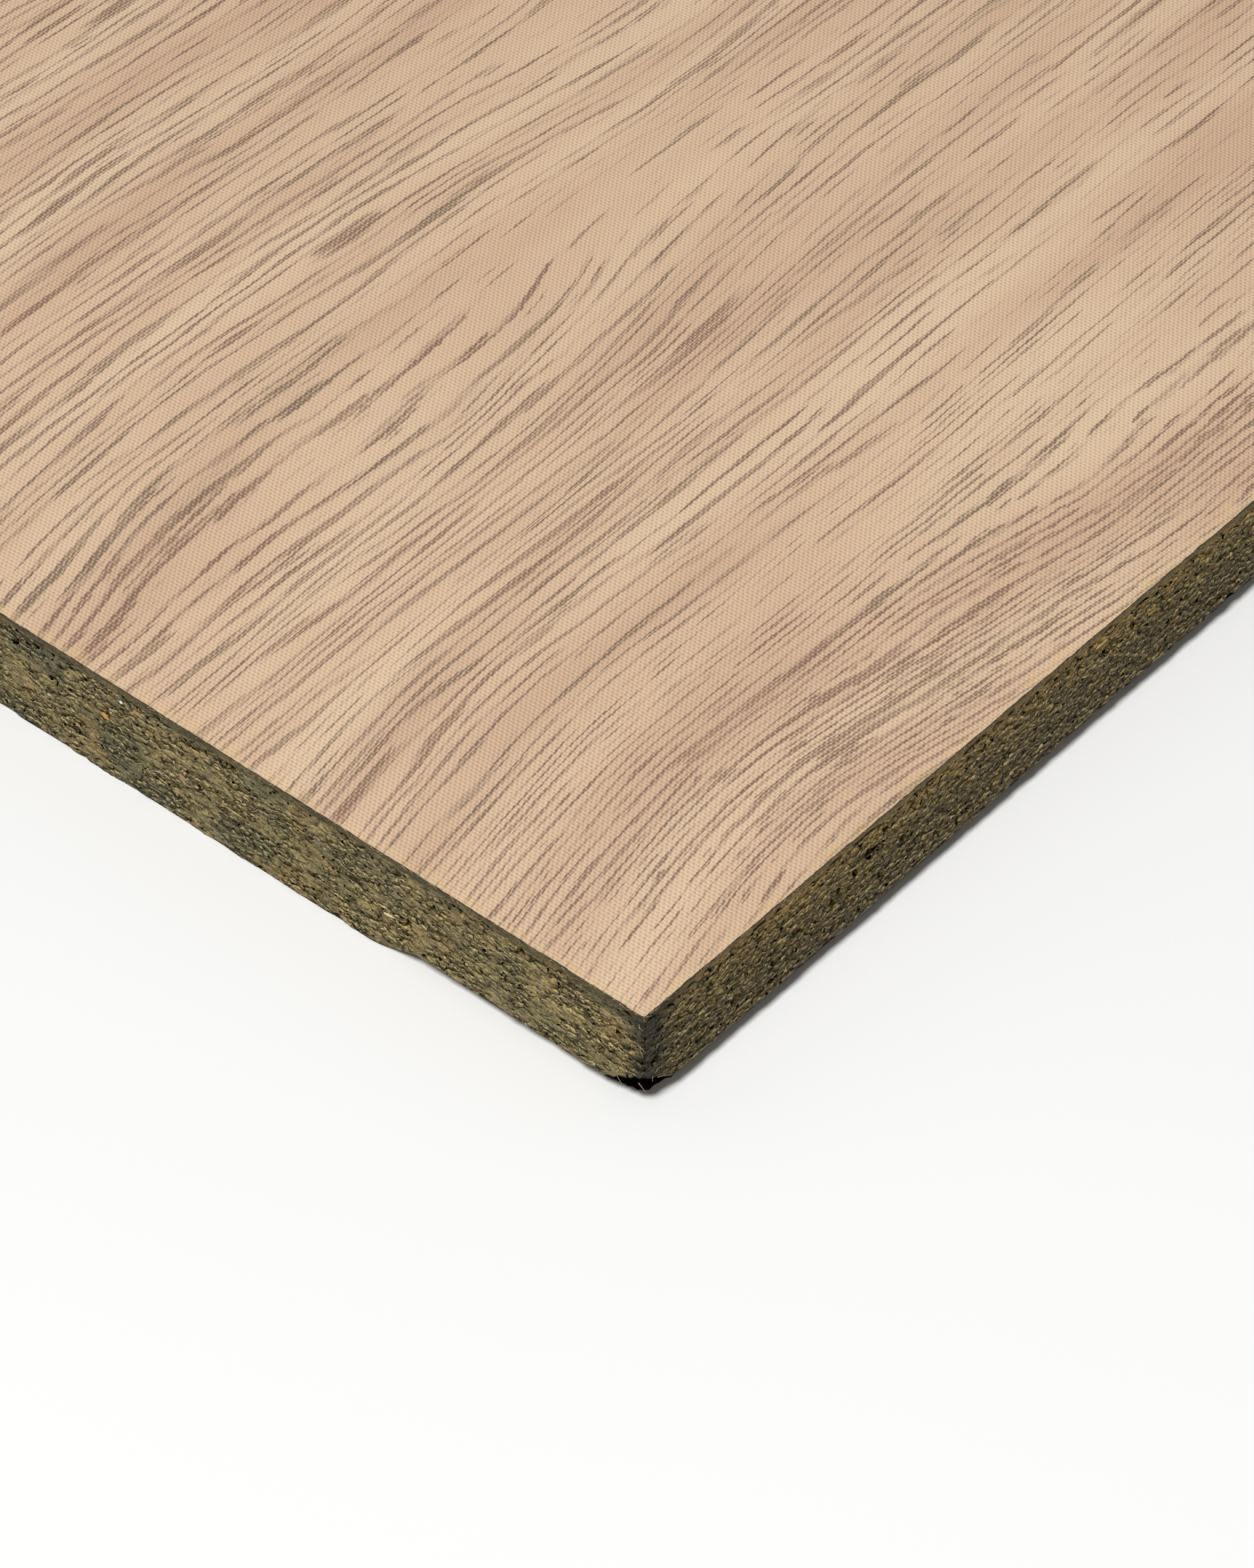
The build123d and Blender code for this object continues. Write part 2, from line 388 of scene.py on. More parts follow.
def pressed_fibre():
    """Pressed, resin-bound fibre board with a sawn edge. To the eye: khaki crumbs pressed flat,
    with painted shade at their feet and a painted highlight along their tops, cracks along the
    board, green and golden patches, and black pits. The cracks and the pits' black are painted
    shade."""
    material, n, place = new_finish("pressed fibre core")

    def field(width, height, detail, roughness=0.5, seed=0.0):
        """Noise with features this wide along the board and this high through it."""
        scale = (1 / width, 1 / width, 1 / height)
        stretched = n("VectorMath", place, scale, (seed,) * 3, operation="MULTIPLY_ADD")
        return n("TexNoise", stretched, Scale=1.0, Detail=detail, Roughness=roughness)

    def crumbs(width, height):
        """Packed crumbs of this size: how far in from a crumb's edge, how far up it, and its tone."""
        packed = n("VectorMath", bent, (1 / width, 1 / width, 1 / height), operation="MULTIPLY")
        edge = n("TexVoronoi", packed, Scale=1.0, feature="DISTANCE_TO_EDGE")
        crumb = n("TexVoronoi", packed, Scale=1.0).node.outputs
        from_centre = n("VectorMath", packed, crumb["Position"], operation="SUBTRACT")
        return edge, n("SeparateXYZ", from_centre).node.outputs["Z"], n("SeparateColor", crumb["Color"])

    # Everything pressed into the board is bent a little out of shape
    wander = n("VectorMath", place, (1 / 0.9, 1 / 0.9, 1 / 0.7), operation="MULTIPLY")
    wander = n("TexNoise", wander, Scale=1.0, Detail=3.0).node.outputs["Color"]
    bent = n("VectorMath", wander, (1.4, 1.4, 0.9), place, operation="MULTIPLY_ADD")
    # Patches 6 mm across are crumbly, and those between are smeared smooth by the saw. The front
    # and back edges are browner, and crumbly all over.
    across = n("SeparateXYZ", n("TexCoord").node.outputs["Normal"]).node.outputs["Y"]
    across = n("MapRange", n("Math", across, operation="ABSOLUTE"), 0.5, 0.9, **smooth)
    crumbly = n("MapRange", field(6.5, 3.5, 2.0, 0.5, 20.0), 0.42, 0.60, **smooth)
    rough = n("Math", crumbly, across, operation="MAXIMUM")
    edge, up, tone = crumbs(1.8, 1.2)
    fine_edge, fine_up, fine_tone = crumbs(0.85, 0.68)
    # Each crumb is painted darkest round its foot, as the shade where it overhangs the next
    rim = n("MapRange", edge, 0.0, 0.34, 1.0, 0.0, **smooth)
    foot = n("Math", rim, n("MapRange", up, -0.3, 0.15, 1.0, 0.0, **smooth), operation="MULTIPLY")
    open_here = n("Math", rough, field(2.4, 1.5, 1.0, 0.5, 110.0), operation="ADD")
    open_here = n("MapRange", open_here, 0.36, 0.7, **smooth)
    foot = n("Math", foot, open_here, operation="MULTIPLY")
    fine_rim = n("MapRange", fine_edge, 0.0, 0.42, 1.0, 0.0, **smooth)
    fine_foot_shade = n("MapRange", fine_up, -0.3, 0.15, 1.0, 0.0, **smooth)
    fine_foot_shade = n("Math", fine_rim, fine_foot_shade, operation="MULTIPLY")
    fine_share = n("Math", rough, 0.65, 0.1, operation="MULTIPLY_ADD")
    fine_foot_shade = n("Math", fine_foot_shade, fine_share, operation="MULTIPLY")
    # A crack runs where this noise passes its middle value, in the places where it is open. It is
    # painted dark as the crack's shade.
    off_crack = n("Math", field(3.2, 0.8, 3.0, 0.5, 60.0), 0.5, operation="SUBTRACT")
    off_crack = n("Math", off_crack, operation="ABSOLUTE")
    crack = n("MapRange", off_crack, 0.0, 0.016, 1.0, 0.0, **smooth)
    gaping = n("MapRange", field(2.2, 1.6, 1.0, 0.5, 70.0), 0.48, 0.56, **smooth)
    crack = n("Math", crack, gaping, operation="MULTIPLY")
    crease = n("Math", n("Math", foot, fine_foot_shade, operation="MAXIMUM"), crack, operation="MAXIMUM")
    # The top two millimetres, under the bonding layer, are torn and pitted in places
    height = n("SeparateXYZ", place).node.outputs["Z"]
    under_layer = n("MapRange", height, 14.7, 16.2, **smooth)
    torn = n("MapRange", field(7, 6, 2.0, 0.5, 30.0), 0.40, 0.54, **smooth)
    seam = n("Math", under_layer, torn, operation="MULTIPLY")
    # Pits: those cut into the mesh, and pinholes half a millimetre across. Both are painted
    # near-black as their shade
    opening = n("Math", seam, 0.045, operation="MULTIPLY")
    opening = n("Math", field(0.95, 0.6, 1.0, 0.5, 90.0), opening, operation="ADD")
    opening = n("Math", rough, 0.03, opening, operation="MULTIPLY_ADD")
    pinhole = n("MapRange", opening, 0.655, 0.71, **smooth)
    hollow = n("Attribute", attribute_name="hollow").node.outputs["Fac"]
    shaded_pit = n("Math", n("MapRange", hollow, 0.1, 0.5, **smooth), pinhole, operation="MAXIMUM")

    # Khaki fibre with greener patches 14 mm across, plainest away from the chipped corner, and
    # golden ones 9 mm across
    fibre = field(0.7, 0.3, 3.0, 0.6, 50.0)
    colour = n("ValToRGB", fibre, stops=((0.32, "#6f613d"), (0.70, "#baa56c"), (0.5, "#968557")))
    green = n("MapRange", field(14, 8, 3.0), 0.46, 0.60, **smooth)
    away = n("MapRange", n("SeparateXYZ", place).node.outputs["Y"], 40.0, 75.0, 0.3, 0.72, **smooth)
    green = n("Math", green, away, operation="MULTIPLY")
    golden = n("MapRange", field(9, 4, 3.0, 0.5, 80.0), 0.52, 0.66, 0.0, 0.5, **smooth)
    # The browner edges darken downwards
    browner = n("Math", across, 0.68, operation="MULTIPLY")
    low_down = n("MapRange", height, 8.0, 17.0, 0.55, 0.0, **smooth)
    low_down = n("Math", across, low_down, operation="MULTIPLY")
    # Each crumb has a tone of its own, and a painted highlight along its upper edge
    tone = n("MapRange", tone, 0.0, 1.0, 0.0, 0.45, **smooth)
    fine_tone = n("MapRange", fine_tone, 0.5, 1.0, 0.0, 0.5, **smooth)
    crown = n("MapRange", fine_up, 0.05, 0.4, **smooth)
    crown = n("Math", crown, n("MapRange", fine_edge, 0.03, 0.12, **smooth), operation="MULTIPLY")
    crown = n("Math", crown, n("Math", rough, 0.45, 0.2, operation="MULTIPLY_ADD"), operation="MULTIPLY")
    # Resin has soaked into the top, unevenly, and the browner edges are paler just below it
    torn_top = n("Math", seam, 0.27, operation="MULTIPLY")
    soaked = n("Math", field(3.0, 2.0, 3.0, 0.5, 15.0), 0.5, operation="SUBTRACT")
    soaked = n("Math", soaked, 3.5, height, operation="MULTIPLY_ADD")
    soaked = n("MapRange", soaked, 16.0, 16.5, 0.0, 0.28, **smooth)
    paler = n("MapRange", height, 14.2, 16.2, 0.0, 0.4, **smooth)
    paler = n("Math", across, paler, operation="MULTIPLY")
    # The crumbs' feet and the cracks are painted near-black as their shade
    crease_shade = n("Math", crease, 0.92, operation="MULTIPLY")
    # The handled upright corners have gone slate-dark, most of all at the top
    corner_way = from_corner(n, place)
    handled = n("MapRange", height, 14.4, 16.2, 0.0, 0.6, **smooth)
    near_corner = n("MapRange", corner_way, 5.0, 17.0, 1.0, 0.0, **smooth)
    handled = n("Math", handled, near_corner, operation="MULTIPLY")
    blotch = n("Math", field(2.6, 1.3, 3.0), 0.5, operation="SUBTRACT")
    to_arris = n("Math", blotch, 7.0, corner_way, operation="MULTIPLY_ADD")
    to_arris = n("Math", height, -0.09, to_arris, operation="MULTIPLY_ADD")
    to_arris = n("Math", across, -1.6, to_arris, operation="MULTIPLY_ADD")
    arris = n("MapRange", to_arris, -0.7, 3.2, 0.85, 0.0, **smooth)
    # Each of these is laid over those before it. The crowns are a painted highlight, and the
    # creases and pits painted shade
    for share, shade in ((green, "#5b5d45"), (golden, "#a3854a"), (browner, "#aa8836"),
                         (low_down, "#2b220f"), (tone, "#574c30"), (fine_tone, "#473d26"),
                         (crown, "#dcc78d"), (torn_top, "#29271d"), (soaked, "#453b26"),
                         (paler, "#b8954c"), (crease_shade, "#120e06"), (handled, "#2b271a"),
                         (arris, "#24241a"), (shaded_pit, "#060402")):
        colour = n("Mix", share, colour, shade, data_type="RGBA")

    # Crumbs stand out, and creases and pits go in and don't shine
    relief = n("Math", n("MapRange", fine_edge, 0.0, 0.4, **smooth), fibre, operation="ADD")
    relief = n("Math", n("MapRange", edge, 0.0, 0.4, **smooth), relief, operation="ADD")
    relief = n("Math", n("Math", crease, shaded_pit, operation="ADD"), -1.0, relief, operation="MULTIPLY_ADD")
    relief = n("Bump", 1.0, 0.2 * MM, Height=relief)
    gloss = n("Math", n("Math", crease, shaded_pit, operation="MAXIMUM"), -0.2, 0.2, operation="MULTIPLY_ADD")
    dull = n("MapRange", fibre, 0.4, 0.65, 0.6, 0.36, **smooth)
    shader = n("BsdfPrincipled", Base_Color=colour, Roughness=dull, Specular_IOR_Level=gloss, Normal=relief)
    return close_finish(material, shader)


def studio_paper():
    """Matt white background paper, with a faint unevenness."""
    material, n, place = new_finish("white studio paper")
    cloud = n("TexNoise", n("VectorMath", place, (1 / 300,) * 3, operation="MULTIPLY"), Scale=1.0)
    colour = n("Mix", cloud, "#e2e2e1", "#e7e7e6", data_type="RGBA")
    return close_finish(material, n("BsdfPrincipled", Base_Color=colour, Roughness=0.9))


# Uneven surfaces

def scramble(cells):
    """A repeatable whole number from 0 to 4095 for each row of lattice cells."""
    keys = cells.astype(np.int64) @ np.array([73856093, 19349663, 83492791])
    keys = (keys ^ (keys >> 13)) * 1274126177
    return (keys ^ (keys >> 16)) & 4095


def lumps(points, size, seed):
    """Smooth noise from -1 to 1 whose lumps are about this size in millimetres."""
    chances = np.random.default_rng(seed).uniform(-1, 1, 4096)
    cells = points / np.asarray(size, float)
    base = np.floor(cells)
    part = cells - base
    part = part * part * (3 - 2 * part)
    total = np.zeros(len(points))
    for corner in itertools.product((0, 1), repeat=3):
        weight = np.prod(np.where(corner, part, 1 - part), axis=1)
        total += weight * chances[scramble(base + corner)]
    return total


def voids(points, spacing, smallest, largest, share, seed):
    """Round voids in this share of the board's cells: 1 at a void's centre, 0 outside it."""
    rng = np.random.default_rng(seed)
    jitter = rng.uniform(0, 1, (4096, 3))
    radius = rng.uniform(smallest, largest, 4096) * (rng.uniform(0, 1, 4096) < share)
    base = np.floor(points / spacing)
    depth = np.zeros(len(points))
    for shift in itertools.product((-1, 0, 1), repeat=3):
        key = scramble(base + shift)
        away = np.linalg.norm((base + shift + jitter[key]) * spacing - points, axis=1)
        depth = np.maximum(depth, 1 - away / np.maximum(radius[key], 1e-6))
    return np.clip(depth, 0, 1)


# The tile's layers

def grid_lines(*stretches):
    """Places along an edge, from 0. Each stretch is (up to here, spacing)."""
    places = [0.0]
    for end, spacing in stretches:
        count = max(1, round((end - places[-1]) / spacing))
        places += list(np.linspace(places[-1], end, count + 1)[1:])
    return np.array(places)


class Layer:
    """One closed layer of the tile: an upright rim of columns all round, and two faces. Rows are
    how many faces each column has, in the rim's finest stretch and elsewhere."""

    def __init__(self, radius, rows, lines_x, lines_y, foot, head):
        self.lines_x, self.lines_y, self.foot, self.head = lines_x, lines_y, foot, head
        self.points, self.outward, self.polygons = [], [], []
        self.lay_out_rim(radius)
        self.raise_columns(*rows)

    def lay_out_rim(self, radius):
        """The outline once round from the chipped corner, with a knot on each grid line."""
        corners = ((0, 0), (tile_length, 0), (tile_length, tile_width), (0, tile_width))
        ways = ((1, 0), (0, 1), (-1, 0), (0, -1))
        back, left = tile_length - self.lines_x[::-1], tile_width - self.lines_y[::-1]
        lines = (self.lines_x, self.lines_y, back, left)
        self.places, self.spokes, self.knots = [], [], []
        for corner, way, marks in zip(corners, ways, lines):
            corner, way = np.array(corner, float), np.array(way, float)
            out = np.array([way[1], -way[0]])
            marks = [radius, *marks[1:-1], marks[-1] - radius]
            knots = []
            for start, stop in zip(marks, marks[1:]):
                knots.append(len(self.places))
                middle = corner + way * (start + stop) / 2
                close = middle.min() < 1 and middle.max() < close_reach
                count = math.ceil((stop - start) / (close_step if close else far_step))
                for along in np.linspace(start, stop, count + 1)[:-1]:
                    self.places.append(corner + way * along)
                    self.spokes.append(out)
            self.knots.append(knots[1:])
            # the rubbed corner, a quarter turn in four steps
            centre = corner + way * marks[-1] - out * radius
            for turn in np.linspace(0, math.pi / 2, 5)[:-1]:
                spoke = out * math.cos(turn) + way * math.sin(turn)
                self.places.append(centre + spoke * radius)
                self.spokes.append(spoke)
        self.places = np.array(self.places)

    def raise_columns(self, fine_rows, coarse_rows):
        """Points up each column of the rim, and the walls between neighbours."""
        self.columns = []
        for place, spoke, low in zip(self.places, self.spokes, self.foot(self.places)):
            close = place.min() < 1 and place.max() < close_reach
            levels = np.linspace(low, self.head, (fine_rows if close else coarse_rows) + 1)
            self.columns.append(range(len(self.points), len(self.points) + len(levels)))
            self.points += [(*place, level) for level in levels]
            self.outward += [(*spoke, 0.0)] * len(levels)
        for a, b in zip(self.columns, self.columns[1:] + self.columns[:1]):
            steps = min(len(a), len(b)) - 1
            up_a, up_b = (len(a) - 1) // steps, (len(b) - 1) // steps
            for k in range(steps):
                near = list(a[k * up_a:(k + 1) * up_a + 1])
                far = list(b[k * up_b:(k + 1) * up_b + 1])
                self.polygons.append(near[::-1] + far)

    def close_face(self, level, step, up):
        """Closes the rim's foot (level 0) or head (level -1) with every step-th grid line."""
        ring = [column[level] for column in self.columns]
        last_x, last_y = len(self.lines_x) - 1, len(self.lines_y) - 1
        front, right, back, left = self.knots
        on_rim = {}
        for k in range(1, last_x):
            on_rim[k, 0], on_rim[last_x - k, last_y] = front[k - 1], back[k - 1]
        for k in range(1, last_y):
            on_rim[last_x, k], on_rim[0, last_y - k] = right[k - 1], left[k - 1]
        inner_x, inner_y = range(1, last_x, step), range(1, last_y, step)
        spots = [(i, j) for i in inner_x for j in inner_y]
        places = np.array([(self.lines_x[i], self.lines_y[j]) for i, j in spots])
        heights = np.full(len(places), self.head) if level else self.foot(places)
        inner = {spot: len(self.points) + k for k, spot in enumerate(spots)}
        self.points += [(*place, height) for place, height in zip(places, heights)]
        self.outward += [(0.0, 0.0, 1.0 if up else -1.0)] * len(spots)
        across, along = [0, *inner_x, last_x], [0, *inner_y, last_y]
        for a, b in zip(across, across[1:]):
            for c, d in zip(along, along[1:]):
                corners = [(a, c), (b, c), (b, d), (a, d)]
                held = [inner.get(corner) for corner in corners]
                if None in held:
                    # the rim's points from one free end to the other, then the inner corners
                    first = next(k for k in range(4) if held[k] is None and held[k - 1] is not None)
                    count = held.count(None)
                    knot, stop = on_rim[corners[first]], on_rim[corners[(first + count - 1) % 4]]
                    run = [knot]
                    while run[-1] != stop:
                        run.append((run[-1] + 1) % len(ring))
                    inside = [held[(first + count + k) % 4] for k in range(4 - count)]
                    held = [ring[k] for k in run] + inside
                self.polygons.append(held if up else held[::-1])

    def arrays(self):
        """The points, and for each the way out of the layer there."""
        return np.array(self.points), np.array(self.outward)


def make_piece(name, points, polygons, material, replaced=None, hollow=None):
    """Makes a piece from points in millimetres, rides it on the tile and gives it its finish. The
    finish darkens each point by how hollow it is, from 0 to 1."""
    mesh = bpy.data.meshes.new(name)
    mesh.from_pydata((points + tile_low) * MM, [], polygons)
    mesh.polygons.foreach_set("use_smooth", np.ones(len(mesh.polygons), bool))
    mesh.set_sharp_from_angle(angle=math.radians(45))
    # the finishes paint the hollow points near-black as their shade
    if hollow is not None:
        shading = mesh.attributes.new("hollow", "FLOAT", "POINT")
        shading.data.foreach_set("value", hollow.astype(np.float32))
    mesh.materials.append(material)
    piece = bpy.data.objects.new(name, mesh)
    bpy.context.scene.collection.objects.link(piece)
    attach(piece, "root")
    if replaced:
        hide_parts(replaced)


# The worn corners, the flake off the underside and the crumbled tip have the part's own measures
corner_wear = 0.8
flake_depth = 2.5
flake_reach_x, flake_reach_y = 190.0, 45.5
flake_slope_run = 7.5
flake_bulge = 12.0
tip_height = 7.6
tip_reach_x, tip_reach_y = 5.7, 7.0
# The tip's break, painted black as shade, comes down to the flake's depth this far behind the
# edges, and behind the upright corner where x and y add up to this. The wall that it leaves bulges.
tip_wall = 0.8
tip_corner_wall = 3.0
tip_bulge = 0.7


def inside_flake(places, setback):
    """How far each place is inside the arc of the flake's break, drawn in by setback."""
    left = np.array([0.0, flake_reach_y - setback])
    right = np.array([flake_reach_x - setback, 0.0])
    chord = right - left
    half = np.linalg.norm(chord) / 2
    away = np.array([-chord[1], chord[0]]) / (2 * half)
    radius = (half ** 2 + flake_bulge ** 2) / (2 * flake_bulge)
    return radius - np.linalg.norm(places - (left + right) / 2 - away * (flake_bulge - radius), axis=1)


def core_foot(places):
    """Height of the core's underside over each place."""
    outer, inner = inside_flake(places, 0.0), inside_flake(places, flake_slope_run)
    flake = flake_depth * np.clip(outer / np.maximum(outer - inner, 1e-6), 0, 1)
    away = places[:, 0] / tip_reach_x + places[:, 1] / tip_reach_y
    tip = (tip_height - flake_depth) * np.clip(1 - away, 0, 1)
    behind_edges = places.min(axis=1) / tip_wall
    behind_corner = places.sum(axis=1) / tip_corner_wall
    behind = np.clip(np.minimum(behind_edges, behind_corner), 0, 1)
    return flake + tip * (1 - behind) ** tip_bulge


# The deeper pits and nicks of the left and front edges: how far from the corner, how high, and
# how wide a radius
left_pits = (
    (6.9, 7.4, 0.6), (14.8, 14.7, 0.6), (16.2, 3.0, 0.8), (19.9, 15.7, 0.7), (26.6, 3.0, 0.5),
    (29.3, 16.0, 0.6), (32.2, 9.4, 0.6), (39.3, 7.9, 0.7), (45.2, 7.2, 0.6), (51.8, 0.2, 1.0),
    (54.5, 3.1, 0.6), (65.1, 0.2, 1.0), (78.0, 12.6, 0.6), (101.5, 11.5, 0.7),
)
front_pits = (
    (1.9, 8.5, 0.6), (8.0, 2.5, 0.8), (36.2, 9.6, 0.7), (40.5, 11.8, 0.6), (43.2, 13.2, 0.9),
    (44.6, 12.9, 0.7), (46.6, 14.7, 0.7), (50.3, 10.6, 0.7), (61.5, 5.2, 0.6), (63.5, 5.6, 0.6),
    (86.5, 13.8, 0.6), (92.0, 13.2, 0.8), (93.6, 13.7, 0.7), (120.3, 2.5, 1.5),
)


def fibre_core():
    """The pressed fibre core, with its pits, worn lower edge, flake and crumbled tip."""
    # the mesh under the tile is fine at the tip and over the flake
    last_x, last_y = (tile_length, 1.0), (tile_width, 1.0)
    lines_x = grid_lines((7, 0.35), (200, 1.25), (260, 4.0), (tile_length - 1, 11.0), last_x)
    lines_y = grid_lines((8.4, 0.35), (60, 1.25), (100, 4.0), (tile_width - 1, 11.0), last_y)
    layer = Layer(corner_wear, (48, 8), lines_x, lines_y, core_foot, core_top)
    layer.close_face(0, 1, up=False)
    layer.close_face(-1, 20, up=True)
    points, outward = layer.arrays()
    sideways = outward[:, 2] == 0
    under = outward[:, 2] < 0
    foot = core_foot(points[:, :2])

    # how far each point stands out: uneven at three sizes, with small and large pits
    rise = 0.10 * lumps(points, (3.2, 3.2, 1.6), 6) + 0.09 * lumps(points, (1.3, 1.3, 0.7), 7)
    rise += 0.05 * lumps(points, (0.6, 0.6, 0.4), 17)
    small = voids(points, spacing=1.9, smallest=0.3, largest=0.6, share=0.15, seed=8)
    large = voids(points, spacing=5.0, smallest=0.6, largest=1.1, share=0.10, seed=9)
    hollow = np.maximum(small, large)
    pits = [(0, along, height, radius) for along, height, radius in left_pits]
    pits += [(along, 0, height, radius) for along, height, radius in front_pits]
    for *centre, radius in pits:
        hollow = np.maximum(hollow, 1 - np.linalg.norm(points - centre, axis=1) / radius)
    pit_depth = 0.9
    rise -= pit_depth * np.sqrt(hollow)
    # the lower 0.7 mm of the edge is worn, and has lost a few crumbs
    low_edge = np.clip(1 - (points[:, 2] - foot) / 0.7, 0, 1) * sideways
    rise -= low_edge * (0.35 + 0.2 * lumps(points, (2.6, 2.6, 9.0), 11))
    rise -= low_edge * np.clip(lumps(points, (1.8, 1.8, 9.0), 10) - 0.5, 0, 1) * 1.2
    rise = np.clip(rise, -1.1, 0.1)
    # the face under the bonding layer is flat, and so is the one on the floor but for its pits
    rise[outward[:, 2] > 0] = 0
    rise[under] = np.minimum(rise[under] * 0.5, 0)
    # the flake's break is rough, and the tip's is torn and painted black as its shade
    tip = np.clip(1.25 - points[:, 0] / tip_reach_x - points[:, 1] / tip_reach_y, 0, 1)
    at_foot = under | (np.abs(points[:, 2] - foot) < 1e-6)
    torn = 0.4 * lumps(points, (4.0, 4.0, 4.0), 12) + 0.25 * lumps(points, (1.3, 1.3, 1.3), 13)
    torn *= np.clip(foot / 0.8, 0, 1) * np.clip(points[:, :2].min(axis=1) / 4, 0.25, 1)
    jagged = 0.35 * lumps(points, (0.9, 0.9, 5.0), 14) * (tip > 0.02)
    points = points + outward * rise[:, None]
    points[:, 2] += np.where(at_foot, torn + jagged, 0)
    points[:, 2] = np.clip(points[:, 2], 0.0, core_top)
    # under the tip the break is marked hollow, so its finish paints it black as shade
    hollow = np.maximum(hollow, np.where(under, np.clip(tip * 3, 0, 1), 0))
    make_piece("fibre_core", points, layer.polygons, pressed_fibre(), "core", hollow)


def thin_layer(name, foot, head, finish, replaced, radius, rows, wave, crumbled, seed):
    """The bonding layer or the cloth: a thin sheet whose sawn edge waves by this much, and whose
    lower margin has crumbled away by up to this much."""
    lines_x, lines_y = grid_lines((tile_length, 25.0)), grid_lines((tile_width, 25.0))
    layer = Layer(radius, rows, lines_x, lines_y, lambda places: np.full(len(places), foot), head)
    layer.close_face(0, 1, up=False)
    layer.close_face(-1, 1, up=True)
    points, outward = layer.arrays()
    sideways = outward[:, 2] == 0
    rise = wave * lumps(points, (1.6, 1.6, 0.8), seed)
    rise += wave * 0.6 * lumps(points, (0.5, 0.5, 0.3), seed + 1)
    # bits of the lower margin have come away
    low_edge = np.clip(1 - (points[:, 2] - foot) / 0.55, 0, 1) * sideways
    gone = np.clip(lumps(points, (1.5, 1.5, 6.0), seed + 2) - 0.15, 0, 1) * low_edge
    rise = np.minimum(rise, 0.05) - crumbled * gone
    points = points + outward * np.where(sideways, rise, 0)[:, None]
    # the bonding layer's finish paints these hollows near-black as their shade
    hollow = np.clip(gone * 1.6, 0, 1)
    make_piece(name, points, layer.polygons, finish, replaced, hollow)


# Chips and loose fibres

# Each edge's corner, the way along it, the way out of it, and its length
edges = (
    ((0, 0), (0, 1), (-1, 0), tile_width),
    ((0, 0), (1, 0), (0, -1), tile_length),
    ((tile_length, 0), (0, 1), (1, 0), tile_width),
    ((0, tile_width), (1, 0), (0, 1), tile_length),
)
left_edge, front_edge = edges[:2]


def wood_chip(colour):
    """A splinter of clean wood among the board's fibres. To the eye: one pale or warm fleck."""
    material, n, place = new_finish("wood chip")
    streaks = n("VectorMath", place, (1 / 0.5, 1 / 0.5, 1 / 0.2), operation="MULTIPLY")
    streaks = n("TexNoise", streaks, Scale=1.0, Detail=3.0)
    darker = n("MapRange", streaks, 0.35, 0.65, 0.0, 0.5)
    colour = n("Mix", darker, colour, "#6e5a38", data_type="RGBA")
    return close_finish(material, n("BsdfPrincipled", Base_Color=colour, Roughness=0.5))


def chip(name, edge, along, height, length, width, tilt, colour):
    """One flat splinter pressed into an edge, its long axis tilted up by this many degrees."""
    corner, way, out, _ = edge
    way, out, up = np.array((*way, 0)), np.array((*out, 0)), np.array((0, 0, 1))
    turn = math.radians(tilt)
    long_axis = way * math.cos(turn) + up * math.sin(turn)
    short_axis = up * math.cos(turn) - way * math.sin(turn)
    middle = np.array((*corner, height)) + way * along
    thick = out * 0.2
    around, across = 12, 6
    points = [middle + thick, middle - thick]
    for band in range(1, across):
        lift, spread = math.cos(math.pi * band / across), math.sin(math.pi * band / across)
        for k in range(around):
            angle = math.tau * k / around
            ragged = spread * (1 + 0.25 * math.sin(5 * angle + along))
            points.append(middle + thick * lift + long_axis * length / 2 * ragged * math.cos(angle)
                          + short_axis * width / 2 * ragged * math.sin(angle))
    polygons = []
    for k in range(around):
        after = (k + 1) % around
        polygons.append((0, 2 + k, 2 + after))
        last = 2 + (across - 2) * around
        polygons.append((1, last + after, last + k))
        for band in range(across - 2):
            low = 2 + band * around
            polygons.append((low + k, low + around + k, low + around + after, low + after))
    make_piece(name, np.array(points), polygons, wood_chip(colour))


def strands(name, paths, radius, material):
    """Fine three-sided fibres along these paths, each thinner towards its end, in one mesh."""
    points, polygons = [], []
    for path in paths:
        first = len(points)
        for k, spot in enumerate(path):
            way = path[min(k + 1, len(path) - 1)] - path[max(k - 1, 0)]
            way /= np.linalg.norm(way)
            side = np.cross(way, (0.3, 0.5, 0.8))
            side /= np.linalg.norm(side)
            other = np.cross(way, side)
            thin = radius * (1 - 0.6 * k / (len(path) - 1))
            for turn in (0, math.tau / 3, 2 * math.tau / 3):
                points.append(spot + thin * (side * math.cos(turn) + other * math.sin(turn)))
        for k in range(len(path) - 1):
            low, high = first + 3 * k, first + 3 * k + 3
            for j in range(3):
                polygons.append((low + j, low + (j + 1) % 3, high + (j + 1) % 3, high + j))
        end = len(points)
        polygons += [(first + 2, first + 1, first), (end - 3, end - 2, end - 1)]
    make_piece(name, np.array(points), polygons, material)


def loose_fibre(name, colour):
    """Fine loose plant or polyester fibre. To the eye: a pale curled hair with a slight sheen."""
    material, n, place = new_finish(name)
    tint = n("TexNoise", n("VectorMath", place, (1 / 3,) * 3, operation="MULTIPLY"), Scale=1.0)
    colour = n("Mix", tint, colour, "#a38f68", data_type="RGBA")
    return close_finish(material, n("BsdfPrincipled", Base_Color=colour, Roughness=0.5))


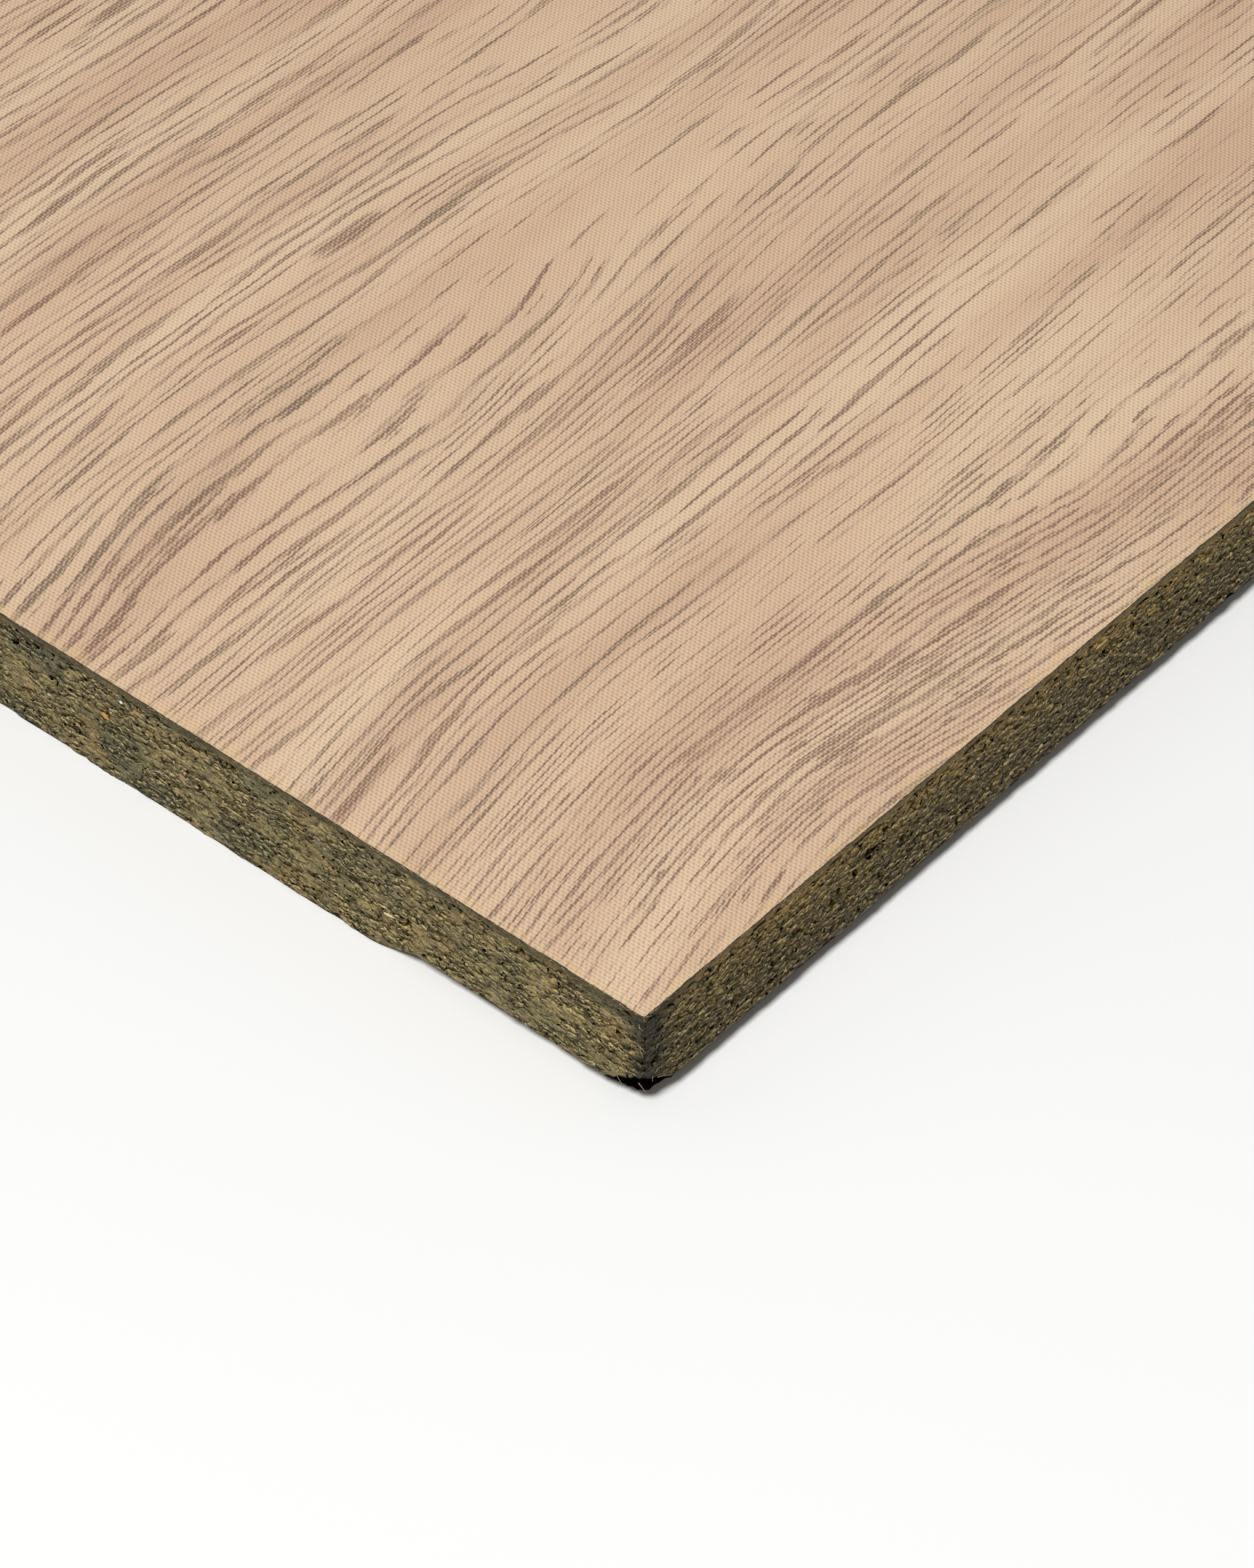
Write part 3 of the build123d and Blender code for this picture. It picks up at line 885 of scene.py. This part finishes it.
def curled(rng, start, way, out, length, curl, sink):
    """A path that starts at an edge, stands out a little, curls along it and sinks."""
    steps = np.linspace(0, 1, 6)[:, None]
    sideways = rng.uniform(-1, 1)
    stand = rng.uniform(0.1, 0.5)
    bend = rng.uniform(-curl, curl)
    return (start + way * length * (sideways * steps + bend * steps ** 2)
            + out * length * stand * (steps - 0.6 * steps ** 2)
            + np.array((0, 0, -1)) * length * sink * rng.uniform(0.2, 1) * steps ** 2)


# How many of each stand along each edge, closer together towards the chipped corner
frays_per_edge = 190
fibres_per_edge = 120
crowding = 1.6


def loose_fibres():
    """Frayed thread ends along the cloth's cut edge, and fibres that stand off the core."""
    rng = np.random.default_rng(51)
    frays, core_fibres = [], []
    for corner, way, out, length in edges:
        corner, way, out = np.array((*corner, 0.0)), np.array((*way, 0.0)), np.array((*out, 0.0))
        for _ in range(frays_per_edge):
            start = corner + way * length * rng.uniform(0.001, 0.999) ** crowding + out * 0.02
            start[2] = rng.uniform(backing_top + 0.05, tile_height - 0.04)
            frays.append(curled(rng, start, way, out, rng.uniform(0.3, 1.1), 0.6, 0.5))
        for _ in range(fibres_per_edge):
            start = corner + way * length * rng.uniform(0.012, 0.999) ** crowding
            start[2] = rng.uniform(5.0, core_top - 0.3)
            core_fibres.append(curled(rng, start, way, out, rng.uniform(0.5, 2.0), 0.5, 0.7))
    # one long fibre hangs across the crumbled tip
    steps = np.linspace(0, 1, 8)[:, None]
    hanging = np.array((0.0, 3.6, 6.6)) + steps * np.array((-0.3, 0.3, -3.0))
    core_fibres.append(hanging + np.sin(steps * 4) * np.array((-0.2, 0.5, 0.0)))
    threads = loose_fibre("frayed cloth threads", "#b09a6f")
    strands("frayed_threads", frays, 0.035, threads)
    strands("core_fibres", core_fibres, 0.04, loose_fibre("loose core fibres", "#b9a77c"))


# Camera, light and floor

def camera():
    """The photograph's viewpoint, from the tile's edge lines and the spacing of its weave."""
    lens = bpy.data.cameras.new("camera")
    lens.sensor_width = 36.0
    lens.lens = 127.556
    lens.clip_start, lens.clip_end = 0.05, 30.0
    view = bpy.data.objects.new("camera", lens)
    view.location = (-0.647131, -0.601399, 0.508000)
    view.rotation_euler = [math.radians(turn) for turn in (45.576493, 0.281508, -49.076303)]
    bpy.context.scene.collection.objects.link(view)
    bpy.context.scene.camera = view


def soft_light(name, place, aim, size, power):
    """A round studio light of this size in metres."""
    lamp = bpy.data.lights.new(name, "AREA")
    lamp.shape = "DISK"
    lamp.size = size
    lamp.energy = power
    holder = bpy.data.objects.new(name, lamp)
    holder.location = place
    holder.rotation_euler = (Vector(aim) - Vector(place)).to_track_quat("-Z", "Y").to_euler()
    bpy.context.scene.collection.objects.link(holder)


def studio():
    """A white paper floor under a large soft light from the left, in pale surroundings."""
    half = 6.0
    mesh = bpy.data.meshes.new("studio_floor")
    corners = [(-half, -half, 0), (half, -half, 0), (half, half, 0), (-half, half, 0)]
    mesh.from_pydata(corners, [], [(0, 1, 2, 3)])
    mesh.materials.append(studio_paper())
    floor = bpy.data.objects.new("studio_floor", mesh)
    bpy.context.scene.collection.objects.link(floor)
    world = bpy.data.worlds.new("pale studio")
    world.use_nodes = True
    surroundings = world.node_tree.nodes["Background"].inputs
    surroundings["Color"].default_value = linear("#ffffff")
    surroundings["Strength"].default_value = 0.26
    bpy.context.scene.world = world
    bpy.context.scene.view_settings.view_transform = "Standard"
    soft_light("key_light", (-1.4, -0.62, 2.0), (-0.3, -0.2, 0), 0.6, 60)


fibre_core()
thin_layer("bonding_layer", core_top, backing_top, dark_bonding_layer(), "face_backing",
           radius=0.5, rows=(4, 2), wave=0.05, crumbled=0.5, seed=31)
thin_layer("printed_cloth", backing_top, tile_height, printed_oak_cloth(), "printed_facing",
           radius=0.15, rows=(2, 1), wave=0.07, crumbled=0.0, seed=41)
loose_fibres()
chip("cream_chip", left_edge, 42.4, 7.3, 1.9, 0.45, -8, "#dccda6")
chip("orange_chip", left_edge, 92.2, 10.9, 1.3, 0.8, 20, "#bd8b3c")
chip("brown_chip", left_edge, 86.0, 15.2, 1.6, 0.7, 5, "#9c7a4c")
chip("clear_chip", left_edge, 88.9, 15.4, 0.5, 0.3, 30, "#e9ecec")
chip("pink_chip", left_edge, 78.5, 8.6, 1.4, 0.8, 15, "#96735a")
chip("golden_chip", front_edge, 91.0, 15.3, 2.6, 0.4, 3, "#b3924f")
camera()
studio()
